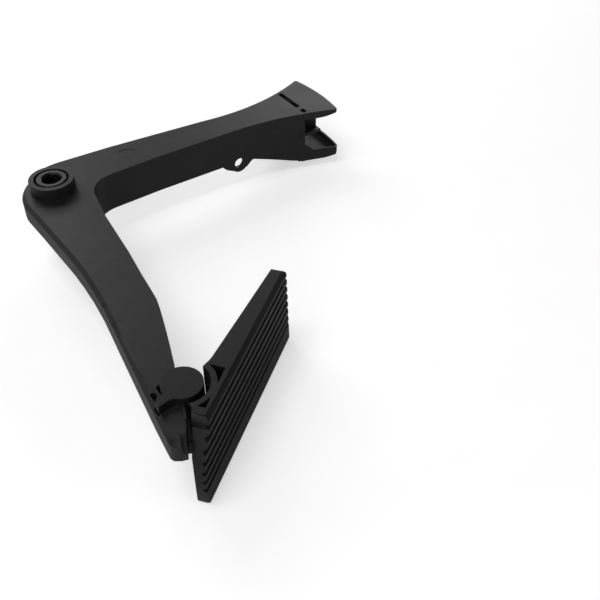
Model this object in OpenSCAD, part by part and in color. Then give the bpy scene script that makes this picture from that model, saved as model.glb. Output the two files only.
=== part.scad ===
// Accelerator pedal: moulded bell-crank lever, pivot bush, locking hinge pin and tread pad.
// Millimetres. Origin on the pivot axis at half the depth of the upper arm.
// +Z runs along the pivot axis towards the plain face, +X along the upper arm,
// the foot arm runs down -Y.

/* [Pivot] */
// Radius of the running bore in the bush
bore_r = 5; // [4.6:0.1:5.4]
// Outer radius of the bush sleeve
bush_r = 7.5; // [7:0.1:7.8]
// Radius of the bush collar
collar_r = 8.2; // [8:0.1:8.6]
// Outer radius of the boss
boss_r = 12; // [11.5:0.1:12.5]
// Height of the boss top above the origin
boss_top = 17.5; // [16:0.5:18.5]
// Depth of the boss foot below the origin
boss_foot = 18.5; // [17.5:0.5:19.5]

/* [Lever] */
// Reach from the pivot axis to the end wall of the mouth
arm_l = 158.2; // [148:0.2:170]
// Drop from the pivot axis to the pad hinge
foot_l = 167.7; // [155:0.1:185]
// Thickness of the face plate
plate_t = 3; // [2.6:0.1:3.4]
// Thickness of the walls
wall_t = 3; // [2.6:0.1:3.2]
// Depth of the shallow outer rim
rim_h = 10; // [9:0.5:11]
// Depth of the deep inner wall
deep_h = 22; // [21:0.5:23]
// Width of the soft edge round the outer rim
soft_edge = 2; // [1.4:0.1:2.4]
// Thickness of the cross ribs
rib_t = 1.8; // [1.4:0.1:2.4]
// Radius of the hole in the lug
lug_hole_r = 3.25; // [2.75:0.25:3.5]

/* [Mouth] */
// Thickness of the horn at its root
horn_t = 4.5; // [4:0.1:5]
// Height of the open mouth between horn and ledge
mouth_h = 9.6; // [9:0.1:10.2]
// Thickness of the lower lip
lip_t = 7.2; // [6.4:0.1:8]
// Width of the core slots behind the horn
slot_w = 3; // [2.4:0.1:3.2]
// Thickness of the rim round the pocket in the lower lip
lip_rim = 1.2; // [1:0.1:1.6]

/* [Pad hinge] */
// Radius of the hinge pin
pin_r = 4; // [3.6:0.1:4.4]
// Radius of the hinge knuckles
knuckle_r = 8.9; // [8.5:0.1:9.2]
// Inner radius of the hollow behind the pad
cradle_r = 11.8; // [11.5:0.1:12.1]
// Wall thickness of that hollow
cradle_t = 2.6; // [2.3:0.1:2.9]
// Running clearance on the pin
fit = 0.05; // [0.02:0.01:0.09]

/* [Pad] */
// Width of the pad along the hinge axis
pad_w = 41.4; // [40:0.1:42]
// Distance from the hinge axis to the toe end
toe_l = 80.8; // [76:0.4:85]
// Distance from the hinge axis to the heel end
heel_l = 26.2; // [25.2:0.2:27.4]
// Depth of the tread grooves
tread_h = 1.5; // [1:0.1:1.9]
// Spacing of the tread ridges
tread_pitch = 4.45; // [4:0.05:4.7]
// Width of one tread groove at the surface
groove_w = 2.4; // [1.8:0.1:2.8]
// Thickness of the pad skins
skin_t = 3; // [2.6:0.1:3.4]

/* [Hidden] */
$fn = 96;
face_z = 11;
tray_z = face_z - plate_t;
rim_z = face_z - rim_h;
deep_z = face_z - deep_h;
rib_z = 2;
foot_z = -22.5;
hinge = [-10.8, -foot_l];
grow_x = arm_l - 158.2;
grow_y = foot_l - 167.7;
pad_turn = 39.7;
face_turn = 1.4;
face_lean = 2.6;
face_n = 18.4;
pad_top = 14.5;
pad_foot = pad_top - pad_w;
head_top = 14.5;
eye_top = 2.7;
eye_foot = -11.7;
axial_gap = 0.5;
knuckle_foot = -20;
horn_z = face_z - horn_t;
ledge_z = horn_z - mouth_h;
ledge_t = 1.6;
lip_z = foot_z + lip_t;
mouth_mid = 9.2;
lug_at = [114 + grow_x, -12];
seat_depth = 3.2;
outer_edge = [for (p = [
    [-18.4, -7.2], [-17.7, -18], [-17.2, -26], [-15.4, -62], [-15.3, -73], [-15.7, -86],
    [-16.8, -101], [-18.6, -116], [-20.8, -132], [-25.2, -166], [-27.8, -185.4], [-28.1, -188.4]
]) [p[0], down(p[1])]];
tail_edge = [
    for (p = [[-28.1, -188.4], [-27.6, -190.6], [-25.4, -192.9], [-22.9, -193.9]]) [p[0], down(p[1])]
];

// A longer arm grows in its straight middle, and the hub and both ends keep their shape.
function out(x) = x > 80 ? x + grow_x : x;
function down(y) = y < -90 ? y - grow_y : y;

module at_mouth() {
    translate([grow_x, 0, 0]) children();
}

module at_foot() {
    translate([0, -grow_y, 0]) children();
}

// Plan outlines. Every one takes the inset i from the outer surface.
module corner_plan(i) {
    intersection() {
        translate([12.6, -7.3]) circle(r = 31 - i, $fn = 160);
        translate([-20, -7.3]) square([32.6, 32]);
    }
    difference() {
        polygon([[-12, 8], [32, 8], [32, -20.3], [16 - i, -20.3], [-12, -20.3]]);
        translate([32, -20.3]) circle(r = 16 + i);
    }
}

module upper_plan(i, x_end) {
    difference() {
        polygon([
            [10, 23.3 - i], [12.6, 23.7 - i], [43, 23 - i], [out(118), 18.3 - i],
            [out(118), 46], [x_end, 46], [x_end, -26], [out(112), -26],
            [out(112), -1.7 + i], [60, -2.6 + i], [31.5, -4.3 + i], [10, -4.3 + i]
        ]);
        translate([out(118), 150.3]) circle(r = 132 + i, $fn = 240);
        translate([out(112), -181.7]) circle(r = 180 + i, $fn = 240);
    }
}

module lower_plan(i) {
    polygon(concat([for (p = outer_edge) [p[0] + i, p[1]]], [for (p = [
        [-27.6 + i, -190.6 + i * 0.5], [-25.4 + i * 0.6, -192.9 + i], [-22.9, -193.9 + i],
        [-21.4 - i * 0.4, -190.5 + i * 0.3], [-17.7 - i, -184], [-13.8 - i, -171],
        [-12.4 - i, -160], [-9.2 - i, -157], [-7.4 - i, -154.2], [-3.7 - i, -143],
        [0 - i, -131.2], [3.6 - i, -119], [5.2 - i, -112.5], [6 - i, -106],
        [7.5 - i, -91.5], [9.7 - i, -74], [11.4 - i, -54], [12.7 - i, -40],
        [14.6 - i, -27], [16 - i, -20], [16 - i, -7.2]
    ]) [p[0], down(p[1])]]));
}

module lever_plan(i, x_end) {
    corner_plan(i);
    upper_plan(i, x_end);
    lower_plan(i);
}

module horn_plan(reach, corner, inset = 0) {
    intersection() {
        upper_plan(inset, arm_l + 32);
        at_mouth() translate([reach - 120, mouth_mid]) circle(r = 120, $fn = 240);
        at_mouth() translate([157.5, mouth_mid]) circle(r = corner);
        at_mouth() translate([156 + inset, -40]) square([40, 100]);
    }
}

module knuckle_plan() {
    translate(hinge) {
        circle(r = knuckle_r);
        polygon([[-12.2, 13.7], [2.6, 13.1], [1.1, 9.1], [6.6, 5.2], [0, 0], [-knuckle_r, 0], [-11.2, 5.7]]);
    }
}

// Side profiles that trim the walls from below, drawn in x and z.
module below_near() {
    polygon([
        [-60, -60], [out(190), -60], [out(190), foot_z], [out(162), foot_z], [out(156), foot_z + 0.5],
        [out(150), foot_z + 1.9], [out(124), deep_z - 1.3], [out(118), deep_z - 0.3],
        [out(112), deep_z], [-60, deep_z]
    ]);
}

module below_far() {
    polygon([
        [-60, -60], [out(190), -60], [out(190), foot_z], [out(162), foot_z], [out(154), foot_z + 1.4],
        [out(146), foot_z + 5], [out(118), rim_z - 4], [out(110), rim_z - 1.2], [out(102), rim_z],
        [-60, rim_z]
    ]);
}

// The same for the outer wall of the foot arm, drawn in y and z: it grows deeper towards the tail.
module below_outer() {
    polygon([for (p = [
        [60, -60], [60, rim_z], [-20, rim_z - 0.4], [-60, rim_z - 1], [-93, rim_z - 1.9],
        [-110, rim_z - 3.2], [-120, rim_z - 3.8], [-170, rim_z - 3.8], [-182, rim_z - 2.3],
        [-187, rim_z - 1.6], [-191, rim_z - 0.6], [-196, rim_z + 1.2], [-240, rim_z + 1.2], [-240, -60]
    ]) [down(p[0]), p[1]]]);
}

module side_cut(y0, y1) {
    translate([0, y1, 0]) rotate([90, 0, 0]) linear_extrude(height = y1 - y0) children();
}

module wall_trim() {
    side_cut(-60, 80) below_near();
    side_cut(9, 80) below_far();
    translate([0, 0, -60]) linear_extrude(height = 60 + deep_z) polygon([
        [-60, 10], [40, 10], [40, down(-240)], [-60, down(-240)]
    ]);
    intersection() {
        translate([-60, 0, 0]) rotate([90, 0, 90]) linear_extrude(height = 61) below_outer();
        translate([0, 0, -60]) linear_extrude(height = 80) polygon([for (p = [
            [-60, 60], [0, 60], [0, -24], [-2, -60], [-5, -100], [-13, -150],
            [-11.5, -165], [-8, -240], [-60, -240]
        ]) [p[0], down(p[1])]]);
    }
}

module zigzag(from, to, count, a, b) {
    step = (to - from) / count;
    for (k = [0 : count - 1]) {
        up = k % 2 == 0;
        p = [from + k * step, up ? a : b];
        q = [from + (k + 1) * step, up ? b : a];
        run = norm(q - p);
        turn = atan2(q[1] - p[1], q[0] - p[0]);
        translate(p) rotate(turn) translate([-2, -rib_t / 2]) square([run + 4, rib_t]);
    }
}

module tray_ribs() {
    translate([0, 0, rib_z]) linear_extrude(height = tray_z - rib_z + 0.5) {
        intersection() {
            union() {
                zigzag(24, out(152), 7, 21, -1);
                for (x = [42, 79, out(116)]) translate([x - rib_t / 2, -10]) square([rib_t, 40]);
            }
            upper_plan(wall_t - 0.5, out(155));
        }
        intersection() {
            union() {
                rotate(-90) zigzag(26, -down(-154), 7, 13, -16);
                for (y = [-44, -80, down(-117)]) translate([-30, y - rib_t / 2]) square([60, rib_t]);
            }
            lower_plan(wall_t - 0.5);
        }
    }
}

module boss() {
    cylinder(r = boss_r, h = boss_top);
    translate([0, 0, -boss_foot]) cylinder(r = boss_r - 0.8, h = boss_foot + 1);
}

module boss_bore() {
    translate([0, 0, -boss_foot - 1]) cylinder(r = bush_r + 0.02, h = boss_foot + boss_top + 2);
    translate([0, 0, boss_top - seat_depth]) cylinder(r = collar_r + 1, h = seat_depth + 1);
}

module lug() {
    side_cut(-1.72, -1.72 + wall_t) {
        translate(lug_at) circle(r = 5.9);
        translate(lug_at) polygon([
            [-12.5, 3], [-11.5, 0.6], [-9, -1.9], [-5, -4], [5, -4], [8, -1.4], [10.5, 0], [11.5, 3]
        ]);
    }
}

module horn() {
    intersection() {
        translate([0, 0, horn_z]) linear_extrude(height = horn_t) horn_plan(180.4, 30.4);
        at_mouth() {
            translate([166, 60, horn_z + 28]) rotate([90, 0, 0]) cylinder(r = 28, h = 120, $fn = 160);
            translate([150, -60, horn_z - 1]) cube([16, 120, horn_t + 2]);
        }
    }
}

module lip() {
    intersection() {
        difference() {
            translate([0, 0, foot_z]) linear_extrude(height = lip_t) horn_plan(181.8, 31);
            translate([0, 0, foot_z + 3.4]) linear_extrude(height = lip_t)
                horn_plan(181.8 - lip_rim, 31 - lip_rim, lip_rim);
        }
        at_mouth() {
            translate([168, 60, foot_z + 30]) rotate([90, 0, 0]) cylinder(r = 30, h = 120, $fn = 160);
            translate([150, -60, foot_z - 1]) cube([18, 120, lip_t + 2]);
        }
    }
}

// Two webs, the shelf and the sloped feet of the side walls inside the mouth.
module mouth_inside() {
    at_mouth() for (side = [-1, 1]) {
        translate([0, mouth_mid, ledge_z - 0.5]) linear_extrude(height = mouth_h + 1.5) polygon([
            [156, side * 6], [163.6, side * 8.4], [170.1, side * 11.8],
            [170.1, side * 9], [163.6, side * 5.6], [156, side * 3.2]
        ]);
    }
    at_mouth() translate([155, -7.7, ledge_z - ledge_t])
        cube([15.1, 2 * (mouth_mid + 7.7), ledge_t]);
    intersection() {
        at_mouth() side_cut(-30, 60) polygon([
            [156, foot_z + 1], [164, foot_z + 1], [164, lip_z], [158.2, lip_z + 4.9], [156, lip_z + 4.9]
        ]);
        translate([0, 0, foot_z]) linear_extrude(height = 30) difference() {
            upper_plan(0, arm_l + 32);
            upper_plan(wall_t, arm_l + 32);
        }
    }
}

// One bevel along the top edge from p to q, with the solid on its left.
module bevel(p, q, size = soft_edge) {
    run = norm(q - p);
    translate([p[0], p[1], face_z]) rotate(atan2(q[1] - p[1], q[0] - p[0]))
        translate([-0.6, 0, 0]) rotate([90, 0, 90]) linear_extrude(height = run + 1.2)
            polygon([[-3, -size - 3], [-3, 3], [size + 3, 3]]);
}

module soft_edges() {
    intersection() {
        translate([-30, -7.3, face_z - 9]) cube([26, 40, 20]);
        translate([12.6, -7.3, 0]) difference() {
            translate([0, 0, face_z - soft_edge]) cylinder(r = 38, h = 6);
            translate([0, 0, face_z - soft_edge - 1])
                cylinder(r1 = 32, r2 = 32 - soft_edge - 9, h = soft_edge + 9, $fn = 160);
        }
    }
    for (k = [0 : len(outer_edge) - 2]) bevel(outer_edge[k], outer_edge[k + 1]);
    for (k = [0 : len(tail_edge) - 2]) bevel(tail_edge[k], tail_edge[k + 1]);
    bevel([-24.2, down(-193.6)], [-17, down(-196)], 5.5);
}

module bulkheads() {
    translate([0, 0, foot_z]) linear_extrude(height = face_z - foot_z - 1) intersection() {
        upper_plan(0.5, arm_l + 32);
        at_mouth() translate([154.4, -40]) square([2.9, 80]);
    }
    translate([0, 0, rim_z]) linear_extrude(height = face_z - rim_z - 1) intersection() {
        lower_plan(0.3);
        translate([-40, down(-156.4)]) square([60, 2.8]);
    }
    at_foot() translate([0, 0, knuckle_foot]) linear_extrude(height = face_z - knuckle_foot - 1) polygon([
        [-13.6, -157.2], [-9.4, -157.2], [-7.6, -154.2], [-5.4, -147.4], [-9.6, -147.4]
    ]);
}

module lever_knuckles() {
    translate([0, 0, eye_top + axial_gap]) linear_extrude(height = face_z - eye_top - axial_gap)
        knuckle_plan();
    translate([0, 0, knuckle_foot]) linear_extrude(height = eye_foot - axial_gap - knuckle_foot)
        intersection() {
            knuckle_plan();
            at_foot() translate([-18.4, -180]) square([20, 40]);
        }
}

module tongue_plan(side) {
    at_foot() polygon([
        [-17, -167.2 + side], [-20.6, -169.5 + side], [-24.6 - side, -171.2 + side],
        [-24.6 - side, -174.4 - side], [-20, -173.4 - side], [-14.8, -173.4 - side]
    ]);
}

module face_openings() {
    translate([0, 0, tray_z - 3]) linear_extrude(height = plate_t + 4) {
        tongue_plan(0.6);
        at_foot() polygon([[-19.7, -161.4], [-17.6, -160.3], [-17.6, -164], [-19.7, -165.8]]);
        at_foot() polygon([[-23.2, -163.2], [-21, -163.4], [-21, -165.6], [-23.4, -168.2]]);
    }
    at_mouth() translate([157.8, mouth_mid - 7.3, horn_z - 1]) cube([slot_w, 20.8, horn_t + 2]);
    at_mouth() translate([157.8, mouth_mid - 15.1, horn_z - 1]) cube([slot_w, 4.3, horn_t + 2]);
    translate([47.9, 9.9, face_z - 0.3]) cylinder(r = 5.9, h = 1);
}

module lever() {
    color([0.13, 0.13, 0.14])
    difference() {
        union() {
            difference() {
                translate([0, 0, foot_z]) linear_extrude(height = face_z - foot_z)
                    lever_plan(0, arm_l);
                translate([0, 0, foot_z - 1]) linear_extrude(height = tray_z - foot_z + 1)
                    lever_plan(wall_t, arm_l + 1);
                wall_trim();
            }
            tray_ribs();
            boss();
            lug();
            horn();
            lip();
            mouth_inside();
            bulkheads();
            lever_knuckles();
            at_foot() translate([0, 0, face_z - 0.5]) linear_extrude(height = 1.7) polygon([
                [-14.9, -174.6], [-13.9, -174.9], [-17.2, -183.9], [-18.2, -183.6]
            ]);
        }
        boss_bore();
        soft_edges();
        face_openings();
        side_cut(-8, 6) translate(lug_at) circle(r = lug_hole_r, $fn = 48);
        translate([hinge[0], hinge[1], -30]) cylinder(r = pin_r + fit, h = 60, $fn = 48);
        translate([hinge[0], hinge[1], eye_foot - axial_gap])
            cylinder(r = knuckle_r + 1, h = eye_top - eye_foot + 2 * axial_gap);
    }
}

module bush() {
    color([0.2, 0.2, 0.21])
    difference() {
        union() {
            translate([0, 0, -boss_foot]) cylinder(r = bush_r, h = boss_foot + boss_top - 0.6);
            translate([0, 0, boss_top - seat_depth + 0.02]) cylinder(r = collar_r, h = 2.58);
            translate([0, 0, boss_top - 0.6]) cylinder(r1 = collar_r, r2 = collar_r - 0.4, h = 0.6);
        }
        translate([0, 0, -boss_foot - 1]) cylinder(r = bore_r, h = boss_foot + boss_top + 2);
        translate([0, 0, boss_top - 0.7]) cylinder(r1 = bore_r, r2 = bore_r + 0.8, h = 0.8);
        for (k = [0 : 2]) {
            rotate(90 + 120 * k) translate([bore_r - 1, -1, -boss_foot - 1])
                cube([1.7, 2, boss_foot + boss_top + 2]);
        }
    }
}

module hinge_pin() {
    color([0.16, 0.16, 0.17]) {
        difference() {
            union() {
                translate([0, 0, face_z + 0.02]) linear_extrude(height = head_top - face_z - 0.02) {
                    translate(hinge) circle(r = knuckle_r);
                    translate(hinge) polygon([
                        [0.1, 8.4], [5.8, 6.5], [7.4, 5], [4.4, -7.8], [0.9, -7.3], [-4, -6.2],
                        [-9.2, -5.7], [-13.8, -6.7], [-13.8, -3.5], [-9.8, -1.8], [-6.5, 2], [-3.3, 6.5]
                    ]);
                }
                translate([hinge[0], hinge[1], knuckle_foot - 1]) cylinder(r = pin_r, h = 33, $fn = 48);
            }
            translate([hinge[0], hinge[1], -30]) cylinder(r = pin_r - 1.9, h = 36, $fn = 32);
        }
        translate([0, 0, tray_z - 1]) linear_extrude(height = head_top - tray_z + 1)
            intersection() {
                tongue_plan(0);
                at_foot() translate([-30, -180]) square([9.6, 20]);
            }
    }
}

// Pad outlines. x runs along the pad from the hinge towards the toe, y away from the tread.
module pad_plan() {
    difference() {
        polygon([
            [-heel_l, -13.8], [-22.9, -12.1], [-17.9, -10.8], [-11.4, -8.9], [-6, -3], [6, -3],
            [11.2, -4.8], [16.4, -6.4], [45.2, -9.2], [toe_l - 1.5, -12.4], [toe_l - 0.4, -13.2],
            [toe_l, -15.4], [toe_l - 0.5, -18.4], [toe_l - 2, -20.4], [toe_l - 4.6, -22],
            [toe_l - 9, -23.6], [toe_l - 20, -26], [-heel_l, -26]
        ]);
        circle(r = cradle_r);
    }
}

// Section across the tread: y towards the hinge, z up. The face leans back by a little,
// and its lower edge rolls under.
module tread_section() {
    translate([-face_n, 0]) rotate(-face_lean) difference() {
        translate([0, pad_foot - 5]) square([36, pad_w + 10]);
        for (k = [0 : 6]) {
            z = pad_top - 4.1 - k * tread_pitch;
            w = groove_w / 2;
            polygon([
                [-1, z + w + 0.5], [0, z + w], [tread_h, z + w - 0.7],
                [tread_h, z - w + 0.7], [0, z - w], [-1, z - w - 0.5]
            ]);
        }
        polygon([
            [-1, pad_foot + 2.6], [0, pad_foot + 1.4], [0.7, pad_foot + 0.6], [1.9, pad_foot],
            [2.6, pad_foot - 0.3], [2.6, pad_foot - 9], [-1, pad_foot - 9]
        ]);
        polygon([
            [-1, pad_top - 2.8], [0, pad_top - 1.6], [0.7, pad_top - 0.6], [2, pad_top],
            [2.8, pad_top + 1], [-1, pad_top + 1]
        ]);
    }
}

// Front view of the pad, x along it and z up. The heel is bowed, the other corners are rounded.
module face_outline() {
    difference() {
        translate([-heel_l - 1, pad_foot]) square([heel_l + toe_l + 2, pad_w]);
        translate([-heel_l - 2, pad_foot - 1]) difference() {
            square([22, pad_w - 4.5]);
            translate([37, 11.5]) circle(r = 35, $fn = 160);
        }
        translate([-heel_l - 2, pad_top - 5.6]) square([15.2, 9]);
        translate([toe_l - 2.5, pad_top - 1.5]) square([9, 9]);
        polygon([
            [toe_l - 0.8, pad_top + 1], [toe_l, pad_foot + 4],
            [toe_l + 9, pad_foot + 4], [toe_l + 9, pad_top + 1]
        ]);
        translate([toe_l - 4, pad_foot - 5]) square([9, 9]);
    }
    translate([-heel_l + 13.2, pad_top - 3]) circle(r = 3);
    translate([-heel_l + 10.2, pad_top - 5.7]) square([6, 2.7]);
    translate([toe_l - 2.5, pad_top - 1.5]) circle(r = 1.5);
    translate([toe_l - 4, pad_foot + 4]) circle(r = 4);
}

module pad_body() {
    intersection() {
        translate([0, 0, pad_foot]) linear_extrude(height = pad_w) pad_plan();
        rotate(-face_turn) rotate([90, 0, 90]) translate([0, 0, -heel_l - 5])
            linear_extrude(height = heel_l + toe_l + 10) tread_section();
        side_cut(-30, 5) face_outline();
    }
}

module pad_pockets() {
    translate([0, 0, pad_foot + skin_t]) linear_extrude(height = pad_w) difference() {
        translate([-9.9, -14]) square([22.7, 11.8]);
        circle(r = cradle_r + cradle_t);
        translate([-4.4, -17]) square([8.4, 10]);
    }
    translate([0, 0, pad_foot + skin_t]) linear_extrude(height = pad_w - 2 * skin_t) difference() {
        polygon([[15.6, -14], [toe_l - 4, -15.4], [toe_l - 4, -6], [15.6, 2]]);
        for (x = [30, 45, 60]) translate([x, -20]) square([rib_t, 30]);
    }
}

module pad() {
    color([0.12, 0.12, 0.13])
    translate([hinge[0], hinge[1], 0]) rotate(pad_turn) difference() {
        union() {
            difference() {
                pad_body();
                pad_pockets();
            }
            translate([0, 0, eye_foot]) linear_extrude(height = eye_top - eye_foot) {
                circle(r = knuckle_r);
                translate([-4.4, -16]) square([8.8, 16]);
            }
        }
        translate([0, 0, -30]) cylinder(r = pin_r + fit, h = 60, $fn = 48);
    }
}

lever();
bush();
hinge_pin();
pad();
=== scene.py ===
# %% [markdown]
# # An accelerator pedal
# The pedal is a black glass-filled nylon lever with a pivot bush in its hub, a locking hinge pin
# and a tread pad. The measured solids come from the CAD frame. This script gives them the soft
# moulded edges, the finishes, the light and the camera. All lengths are in metres.

import math

import bmesh
import bpy
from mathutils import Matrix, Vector


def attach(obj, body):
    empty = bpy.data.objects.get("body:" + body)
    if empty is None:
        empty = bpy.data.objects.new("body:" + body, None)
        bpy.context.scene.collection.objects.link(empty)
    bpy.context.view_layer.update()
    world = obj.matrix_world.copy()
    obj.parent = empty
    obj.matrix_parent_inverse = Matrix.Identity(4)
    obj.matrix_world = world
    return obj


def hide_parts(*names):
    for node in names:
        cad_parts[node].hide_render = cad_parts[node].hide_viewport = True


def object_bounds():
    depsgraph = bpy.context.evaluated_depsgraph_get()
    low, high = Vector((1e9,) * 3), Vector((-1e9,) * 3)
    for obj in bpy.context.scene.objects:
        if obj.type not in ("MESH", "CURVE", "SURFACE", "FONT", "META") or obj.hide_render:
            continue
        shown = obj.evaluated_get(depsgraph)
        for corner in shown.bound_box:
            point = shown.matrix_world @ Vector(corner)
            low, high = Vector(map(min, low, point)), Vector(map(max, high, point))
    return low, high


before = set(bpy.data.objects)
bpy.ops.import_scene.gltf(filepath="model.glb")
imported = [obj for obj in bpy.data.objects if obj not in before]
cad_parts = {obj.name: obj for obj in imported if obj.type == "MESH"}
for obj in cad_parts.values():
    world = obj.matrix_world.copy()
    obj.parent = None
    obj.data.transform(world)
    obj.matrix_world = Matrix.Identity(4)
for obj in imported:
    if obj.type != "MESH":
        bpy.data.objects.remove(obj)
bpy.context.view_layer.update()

# %% [markdown]
# ## A clean copy of each solid
# A CAD node arrives as loose triangles, and a roll along its corners needs whole faces that share
# their edges. The triangles could be redrawn by hand, but the solid is already right, so a copy is
# merged instead: doubles are joined, slivers go, and the triangles of one flat area become one face.

# %% A helper that makes a merged copy of a CAD node
MM = 0.001
MERGE = 0.01 * MM
SLIVER = 0.004 * MM
FLAT = math.radians(0.6)


def join_flat_areas(bm):
    bmesh.ops.dissolve_limit(
        bm, angle_limit=FLAT, verts=bm.verts, edges=bm.edges,
        use_dissolve_boundaries=False, delimit=set(),
    )


def merged_copy(node, name, mend=None):
    bm = bmesh.new()
    bm.from_mesh(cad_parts[node].data)
    bmesh.ops.remove_doubles(bm, verts=bm.verts, dist=MERGE)
    if mend:
        join_flat_areas(bm)
        mend(bm)
    bmesh.ops.dissolve_degenerate(bm, dist=SLIVER, edges=bm.edges)
    join_flat_areas(bm)
    mesh = bpy.data.meshes.new(name)
    bm.to_mesh(mesh)
    bm.free()
    obj = bpy.data.objects.new(name, mesh)
    bpy.context.collection.objects.link(obj)
    print(name, "merged to", len(mesh.vertices), "vertices and", len(mesh.polygons), "faces")
    return obj


# %% [markdown]
# ## Soft edges
# A moulding never has a knife edge: the tool is polished round every corner, and that narrow round
# catches the light as a thin line. A Bevel modifier rolls the corners over. It could round every
# edge that is steep enough, but where a corner is a thin wedge, or where two corners crowd, the roll
# would cut across its neighbour. So each edge gets a weight: 1 is rolled and 0 stays sharp. After a
# try, the faces whose outline now crosses itself are looked up, and their corners are left sharp. A
# handful can still cross by a square millimetre or two after the last try, and the print counts them.

# %% A helper that finds the faces that a roll has crossed
SPARE_AREA = 0.3 * MM * MM


def crossed_faces(obj):
    """A face whose outline crosses itself covers more area in triangles than it has."""
    graph = bpy.context.evaluated_depsgraph_get()
    rolled = obj.evaluated_get(graph)
    mesh = rolled.to_mesh()
    mesh.calc_loop_triangles()
    covered = [0.0] * len(mesh.polygons)
    for triangle in mesh.loop_triangles:
        covered[triangle.polygon_index] += triangle.area
    origin = mesh.attributes["origin"].data
    crossed = {
        origin[face.index].value for face in mesh.polygons
        if covered[face.index] > face.area + SPARE_AREA
    }
    rolled.to_mesh_clear()
    return crossed


# %% A helper that adds the two modifiers of a moulded edge
def add_roll(obj, width):
    bevel = obj.modifiers.new("soft edges", "BEVEL")
    bevel.width = width
    bevel.segments = 2
    bevel.limit_method = "WEIGHT"
    bevel.use_clamp_overlap = False
    bevel.loop_slide = False
    bevel.miter_outer = "MITER_ARC"
    normals = obj.modifiers.new("flat faces stay flat", "WEIGHTED_NORMAL")
    normals.weight = 90
    normals.keep_sharp = True


# %% A helper that weighs the corners and rolls them
CORNER = math.radians(32)
WEDGE = math.radians(16)
ATTEMPTS = 6


def soften(obj, width):
    add_roll(obj, width)
    bm = bmesh.new()
    bm.from_mesh(obj.data)
    weights = bm.edges.layers.float.new("bevel_weight_edge")
    origin = bm.faces.layers.int.new("origin")
    bm.faces.ensure_lookup_table()
    corners = {
        edge for edge in bm.edges
        if len(edge.link_faces) == 2 and edge.calc_face_angle(0) > CORNER
    }
    wedges = set()
    for face in bm.faces:
        face.smooth = True
        face[origin] = face.index
        for loop in face.loops:
            both = {loop.edge, loop.link_loop_prev.edge}
            if both <= corners and loop.calc_angle() < WEDGE:
                wedges.add(loop.vert)
    rolled = {edge for edge in corners if not wedges & set(edge.verts)}
    for attempt in range(ATTEMPTS):
        for edge in corners:
            edge[weights] = 1.0 if edge in rolled else 0.0
            edge.smooth = edge in rolled
        bm.to_mesh(obj.data)
        crossed = crossed_faces(obj)
        print(obj.name, "try", attempt, "rolls", len(rolled), "of", len(corners), "corners and",
              "crosses", len(crossed), "faces")
        if not crossed:
            break
        for index in crossed:
            rolled -= set(bm.faces[index].edges)
    bm.free()


# %% A helper that puts the softened copy in the place of its solid
def moulding(node, name, body, width, mend=None):
    obj = merged_copy(node, name, mend)
    soften(obj, width)
    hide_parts(node)
    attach(obj, body)
    return obj


# %% [markdown]
# ## The lever
# The lever is one moulding: face plate, rims, hub, ribs, mouth, lug and the hinge's knuckles. Along
# the outer edge of the foot arm its top corner is cut off by a sloped strip about 2 mm wide. One
# short stretch of that strip is square in the CAD mesh. It could be hidden by a wider roll, but a
# roll looks round where the strip is flat, so the stretch gets the same slope by a bevel of one
# segment, before anything else is rolled.

# %% The lever, with the sloped strip closed
SLOPE = 2.02 * MM
STRIP_TOP = 11 * MM
STRIP_X = (-15.6 * MM, -15.1 * MM)
STRIP_Y = (-73 * MM, -62 * MM)


def on_square_stretch(point):
    return (
        abs(point.z - STRIP_TOP) < MERGE
        and STRIP_X[0] < point.x < STRIP_X[1]
        and STRIP_Y[0] < point.y < STRIP_Y[1]
    )


def close_strip(bm):
    square = [
        edge for edge in bm.edges
        if edge.calc_length() > 4 * SLOPE and all(on_square_stretch(vert.co) for vert in edge.verts)
    ]
    bmesh.ops.bevel(
        bm, geom=square, offset=SLOPE, offset_type="OFFSET", segments=1, profile=0.5,
        affect="EDGES", material=-1,
    )
    bmesh.ops.remove_doubles(bm, verts=bm.verts, dist=MERGE)
    bmesh.ops.dissolve_degenerate(bm, dist=SLIVER, edges=bm.edges)
    print("square stretches sloped:", len(square))


lever = moulding("lever", "lever_moulding", "lever_body", 0.2 * MM, mend=close_strip)

# %% [markdown]
# ## The pivot bush
# The bush is pressed into the hub and turns on the vehicle's pin. Only its collar and its bore show,
# inside a dark ring of groove. It is a turned shape that could be spun from a profile, but the solid
# has the bore and its three grooves already. Its corners are finer than the lever's, and so is the
# roll.

# %% The pivot bush
bush = moulding("bush", "pivot_bush", "lever_body", 0.15 * MM)

# %% [markdown]
# ## The hinge pin
# The pin drops into the hinge from above. Its round head covers the lever's upper knuckle, and its
# tongue sits in the slot in the arm, so that the pin can't turn. It rides on the lever.

# %% The hinge pin
pin = moulding("hinge_pin", "hinge_lock", "lever_body", 0.2 * MM)

# %% [markdown]
# ## The tread pad
# The pad is one moulding with its eye, its two pockets and the ridges of the tread. The ridges could
# be drawn by a bump in the material, but their shadows and their stepped ends at the heel are plain
# to see, so they are real shape. The pad swings on its own body.

# %% The tread pad
pad = moulding("pad", "tread_pad", "pad_body", 0.2 * MM)

# %% [markdown]
# ## The moulded nylon
# Glass-filled nylon from a spark-eroded tool has a fine matt grain, a little mottle where the glass
# shows, and slow changes of gloss along the flow of the melt. Noise at three scales makes these:
# a grain of a few tenths of a millimetre in the bump, a mottle of a few millimetres in the colour,
# and a slow wave in the roughness. Object coordinates keep them fixed to the piece.

# %% A helper that builds a moulded plastic
MOTTLE = 260
WAVE = 38
GRAIN_HEIGHT = 0.06 * MM


def noise_of(tree, scale, detail):
    coords = tree.nodes.new("ShaderNodeTexCoord")
    noise = tree.nodes.new("ShaderNodeTexNoise")
    noise.inputs["Scale"].default_value = scale
    noise.inputs["Detail"].default_value = detail
    tree.links.new(coords.outputs["Object"], noise.inputs["Vector"])
    return noise.outputs["Fac"]


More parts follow.
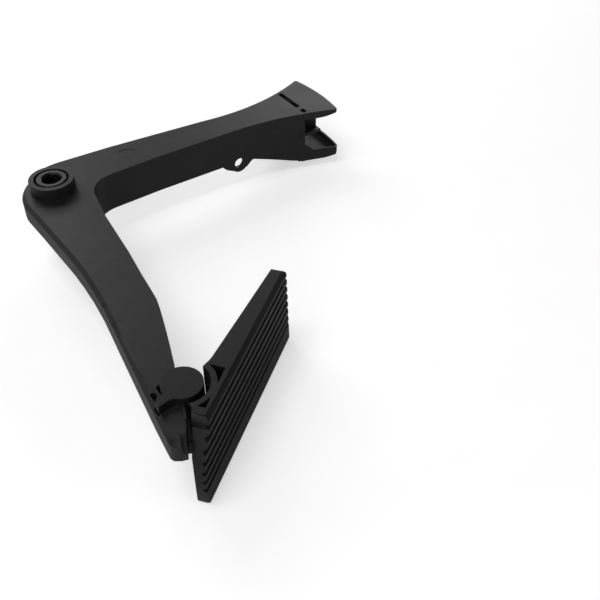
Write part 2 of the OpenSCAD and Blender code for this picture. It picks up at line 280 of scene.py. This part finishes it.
def moulded(name, dark, light, rough, grain, bump, spec=0.33):
    mat = bpy.data.materials.new(name)
    mat.use_nodes = True
    tree = mat.node_tree
    shader = tree.nodes["Principled BSDF"]
    shader.inputs["Specular IOR Level"].default_value = spec

    mottle = tree.nodes.new("ShaderNodeValToRGB")
    mottle.color_ramp.elements[0].position = 0.35
    mottle.color_ramp.elements[1].position = 0.68
    mottle.color_ramp.elements[0].color = (*dark, 1)
    mottle.color_ramp.elements[1].color = (*light, 1)
    tree.links.new(noise_of(tree, MOTTLE, 4), mottle.inputs["Fac"])
    tree.links.new(mottle.outputs["Color"], shader.inputs["Base Color"])

    gloss = tree.nodes.new("ShaderNodeMapRange")
    gloss.inputs["To Min"].default_value = rough - 0.06
    gloss.inputs["To Max"].default_value = rough + 0.08
    tree.links.new(noise_of(tree, WAVE, 3), gloss.inputs["Value"])
    tree.links.new(gloss.outputs["Result"], shader.inputs["Roughness"])

    height = tree.nodes.new("ShaderNodeBump")
    height.inputs["Strength"].default_value = bump
    height.inputs["Distance"].default_value = GRAIN_HEIGHT
    tree.links.new(noise_of(tree, grain, 3), height.inputs["Height"])
    tree.links.new(height.outputs["Normal"], shader.inputs["Normal"])
    print("material", name, "with a grain of", round(1000 / grain, 2), "mm")
    return mat


def finish(piece, material):
    piece.data.materials.clear()
    piece.data.materials.append(material)


# %% [markdown]
# ## Four finishes of one family
# All four pieces are black, but they come from different tools. The lever is the plain matt one. The
# bush is a smoother, bluer nylon, the pin shines a little less, and the pad has the coarsest grain,
# for grip. Each has its own material, so that one can be changed without the others.

# %% The lever's finish
lever_nylon = moulded(
    "lever_nylon", dark=(0.0078, 0.0080, 0.0083), light=(0.0112, 0.0115, 0.0118),
    rough=0.48, grain=2600, bump=0.3,
)
finish(lever, lever_nylon)

# %% The bush's finish
bush_nylon = moulded(
    "bush_nylon", dark=(0.0065, 0.0065, 0.0072), light=(0.0100, 0.0100, 0.0107),
    rough=0.42, grain=3200, bump=0.2,
)
finish(bush, bush_nylon)

# %% The pin's finish
pin_nylon = moulded(
    "pin_nylon", dark=(0.0070, 0.0072, 0.0074), light=(0.0098, 0.0101, 0.0104),
    rough=0.48, grain=2600, bump=0.3, spec=0.28,
)
finish(pin, pin_nylon)

# %% The pad's finish
pad_nylon = moulded(
    "pad_nylon", dark=(0.0064, 0.0063, 0.0072), light=(0.0100, 0.0097, 0.0108),
    rough=0.5, grain=2200, bump=0.35,
)
finish(pad, pad_nylon)

# %% [markdown]
# ## The floor
# The pedal lies on a plain pale floor. It could be a room with a curved backdrop, but the camera
# looks steeply down, so one flat sheet, a metre to each side, is enough. It sits a hair under the
# lowest point of the pedal, so that the shadow starts where the pedal touches it.

# %% The floor's sheet
FLOOR_HALF = 1.0
FLOOR_GAP = 0.3 * MM
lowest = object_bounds()[0][2]
bm = bmesh.new()
bmesh.ops.create_grid(bm, x_segments=4, y_segments=4, size=FLOOR_HALF)
bmesh.ops.translate(bm, vec=(0, 0, lowest - FLOOR_GAP), verts=bm.verts)
mesh = bpy.data.meshes.new("floor")
bm.to_mesh(mesh)
bm.free()
floor = bpy.data.objects.new("floor", mesh)
bpy.context.collection.objects.link(floor)
print("floor at", round((lowest - FLOOR_GAP) * 1000, 2), "mm")

# %% [markdown]
# ## The floor's paper
# A product picture has a ground that is burnt out to white round an object that isn't overlit. More
# light would lift the pedal as well. So the paper gets a glow that only the camera sees: Light Path
# tells the camera's rays from the rest, so the pedal is still lit by plain paper and keeps its shadow.

# %% The floor's paper
PAPER_GLOW = 0.52
paper = bpy.data.materials.new("white_table")
paper.use_nodes = True
tree = paper.node_tree
shader = tree.nodes["Principled BSDF"]
shader.inputs["Roughness"].default_value = 0.8
shader.inputs["Specular IOR Level"].default_value = 0.2
coords = tree.nodes.new("ShaderNodeTexCoord")
fibre = tree.nodes.new("ShaderNodeTexNoise")
fibre.inputs["Scale"].default_value = 40
tone = tree.nodes.new("ShaderNodeValToRGB")
tone.color_ramp.elements[0].color = (0.78, 0.78, 0.79, 1)
tone.color_ramp.elements[1].color = (0.82, 0.82, 0.82, 1)
tree.links.new(coords.outputs["Object"], fibre.inputs["Vector"])
tree.links.new(fibre.outputs["Fac"], tone.inputs["Fac"])
tree.links.new(tone.outputs["Color"], shader.inputs["Base Color"])
print("paper of material", paper.name, "with", len(tree.nodes), "nodes")

# %% The glow that only the camera sees
glow = tree.nodes.new("ShaderNodeEmission")
glow.inputs["Color"].default_value = (1, 1, 1, 1)
glow.inputs["Strength"].default_value = PAPER_GLOW
unlit = tree.nodes.new("ShaderNodeEmission")
unlit.inputs["Strength"].default_value = 0.0
seen = tree.nodes.new("ShaderNodeLightPath")
only_seen = tree.nodes.new("ShaderNodeMixShader")
both = tree.nodes.new("ShaderNodeAddShader")
tree.links.new(seen.outputs["Is Camera Ray"], only_seen.inputs["Fac"])
tree.links.new(unlit.outputs["Emission"], only_seen.inputs[1])
tree.links.new(glow.outputs["Emission"], only_seen.inputs[2])
tree.links.new(shader.outputs["BSDF"], both.inputs[0])
tree.links.new(only_seen.outputs["Shader"], both.inputs[1])
tree.links.new(both.outputs["Shader"], tree.nodes["Material Output"].inputs["Surface"])
floor.data.materials.append(paper)
print("paper glows for the camera by", PAPER_GLOW)

# %% [markdown]
# ## The light
# The photograph has a ring of broad soft lights. Two stand behind the object, so the faces that look
# up shine, and the far arm shines most because it is seen at the flattest angle. The walls that face
# the camera get the light beside it and a low fill on the right. Each lamp is placed by its bearing
# and height as seen from the middle of the object, which makes the ring easy to read and to change.

# %% A helper that places one soft lamp of the ring
MIDDLE = Vector((0.03, -0.08, 0))
DISTANCE = 1.3
PANEL = 0.7


def soft_lamp(name, bearing, height, power):
    bearing = math.radians(bearing)
    height = math.radians(height)
    level = math.cos(height)
    away = Vector((math.sin(bearing) * level, math.cos(bearing) * level, math.sin(height)))
    data = bpy.data.lights.new(name, "AREA")
    data.shape = "SQUARE"
    data.size = PANEL
    data.energy = power
    lamp = bpy.data.objects.new(name, data)
    lamp.location = MIDDLE + away * DISTANCE
    lamp.rotation_euler = (-away).to_track_quat("-Z", "Y").to_euler()
    bpy.context.collection.objects.link(lamp)
    print(name, "at", [round(v, 2) for v in lamp.location], "with", power, "W")


# %% The ring of lamps: bearing from +Y towards +X, height above the floor, power
soft_lamp("back_panel", 0, 35, 4.4)
soft_lamp("back_low_panel", 45, 12, 4.7)
soft_lamp("right_low_fill", 145, 16, 2.6)
soft_lamp("front_left_fill", 225, 25, 4.4)
soft_lamp("left_high_fill", 270, 68, 5.2)
soft_lamp("left_low_fill", 315, 14, 1.1)

# %% [markdown]
# ## The surroundings
# Black nylon mirrors whatever stands round it, so a bright world would turn it grey. The world is
# nearly dark for the object and plain white where the camera looks past the floor.

# %% The surroundings: dark for the object, white for the camera
WORLD_FILL = 0.03
world = bpy.data.worlds.new("studio")
bpy.context.scene.world = world
world.use_nodes = True
tree = world.node_tree
plain = tree.nodes["Background"]
plain.inputs["Color"].default_value = (0.9, 0.92, 0.95, 1)
plain.inputs["Strength"].default_value = WORLD_FILL
white = tree.nodes.new("ShaderNodeBackground")
white.inputs["Color"].default_value = (1, 1, 1, 1)
white.inputs["Strength"].default_value = 1.0
path = tree.nodes.new("ShaderNodeLightPath")
mix = tree.nodes.new("ShaderNodeMixShader")
tree.links.new(path.outputs["Is Camera Ray"], mix.inputs["Fac"])
tree.links.new(plain.outputs["Background"], mix.inputs[1])
tree.links.new(white.outputs["Background"], mix.inputs[2])
tree.links.new(mix.outputs["Shader"], tree.nodes["World Output"].inputs["Surface"])
print("world fills with", WORLD_FILL)

# %% [markdown]
# ## The camera
# The photograph looks down at about 41 degrees from a little under half a metre away, across the
# foot arm towards the linkage arm. The same pinhole camera is set here, so that the render and the
# photograph can be compared point by point.

# %% Camera
LENS = 49.5
EYE = (-0.09861, -0.38278, 0.2575)
LOOK_DOWN = 41.2
HEADING = 34
camera_data = bpy.data.cameras.new("camera")
camera_data.sensor_width = 36
camera_data.lens = LENS
camera_data.clip_start = 0.01
camera = bpy.data.objects.new("camera", camera_data)
camera.location = EYE
camera.rotation_euler = (math.radians(90 - LOOK_DOWN), 0, math.radians(-HEADING))
bpy.context.collection.objects.link(camera)
bpy.context.scene.camera = camera
bpy.context.scene.view_settings.view_transform = "Standard"
print("camera", round(Vector(EYE).length * 1000), "mm from the pivot")
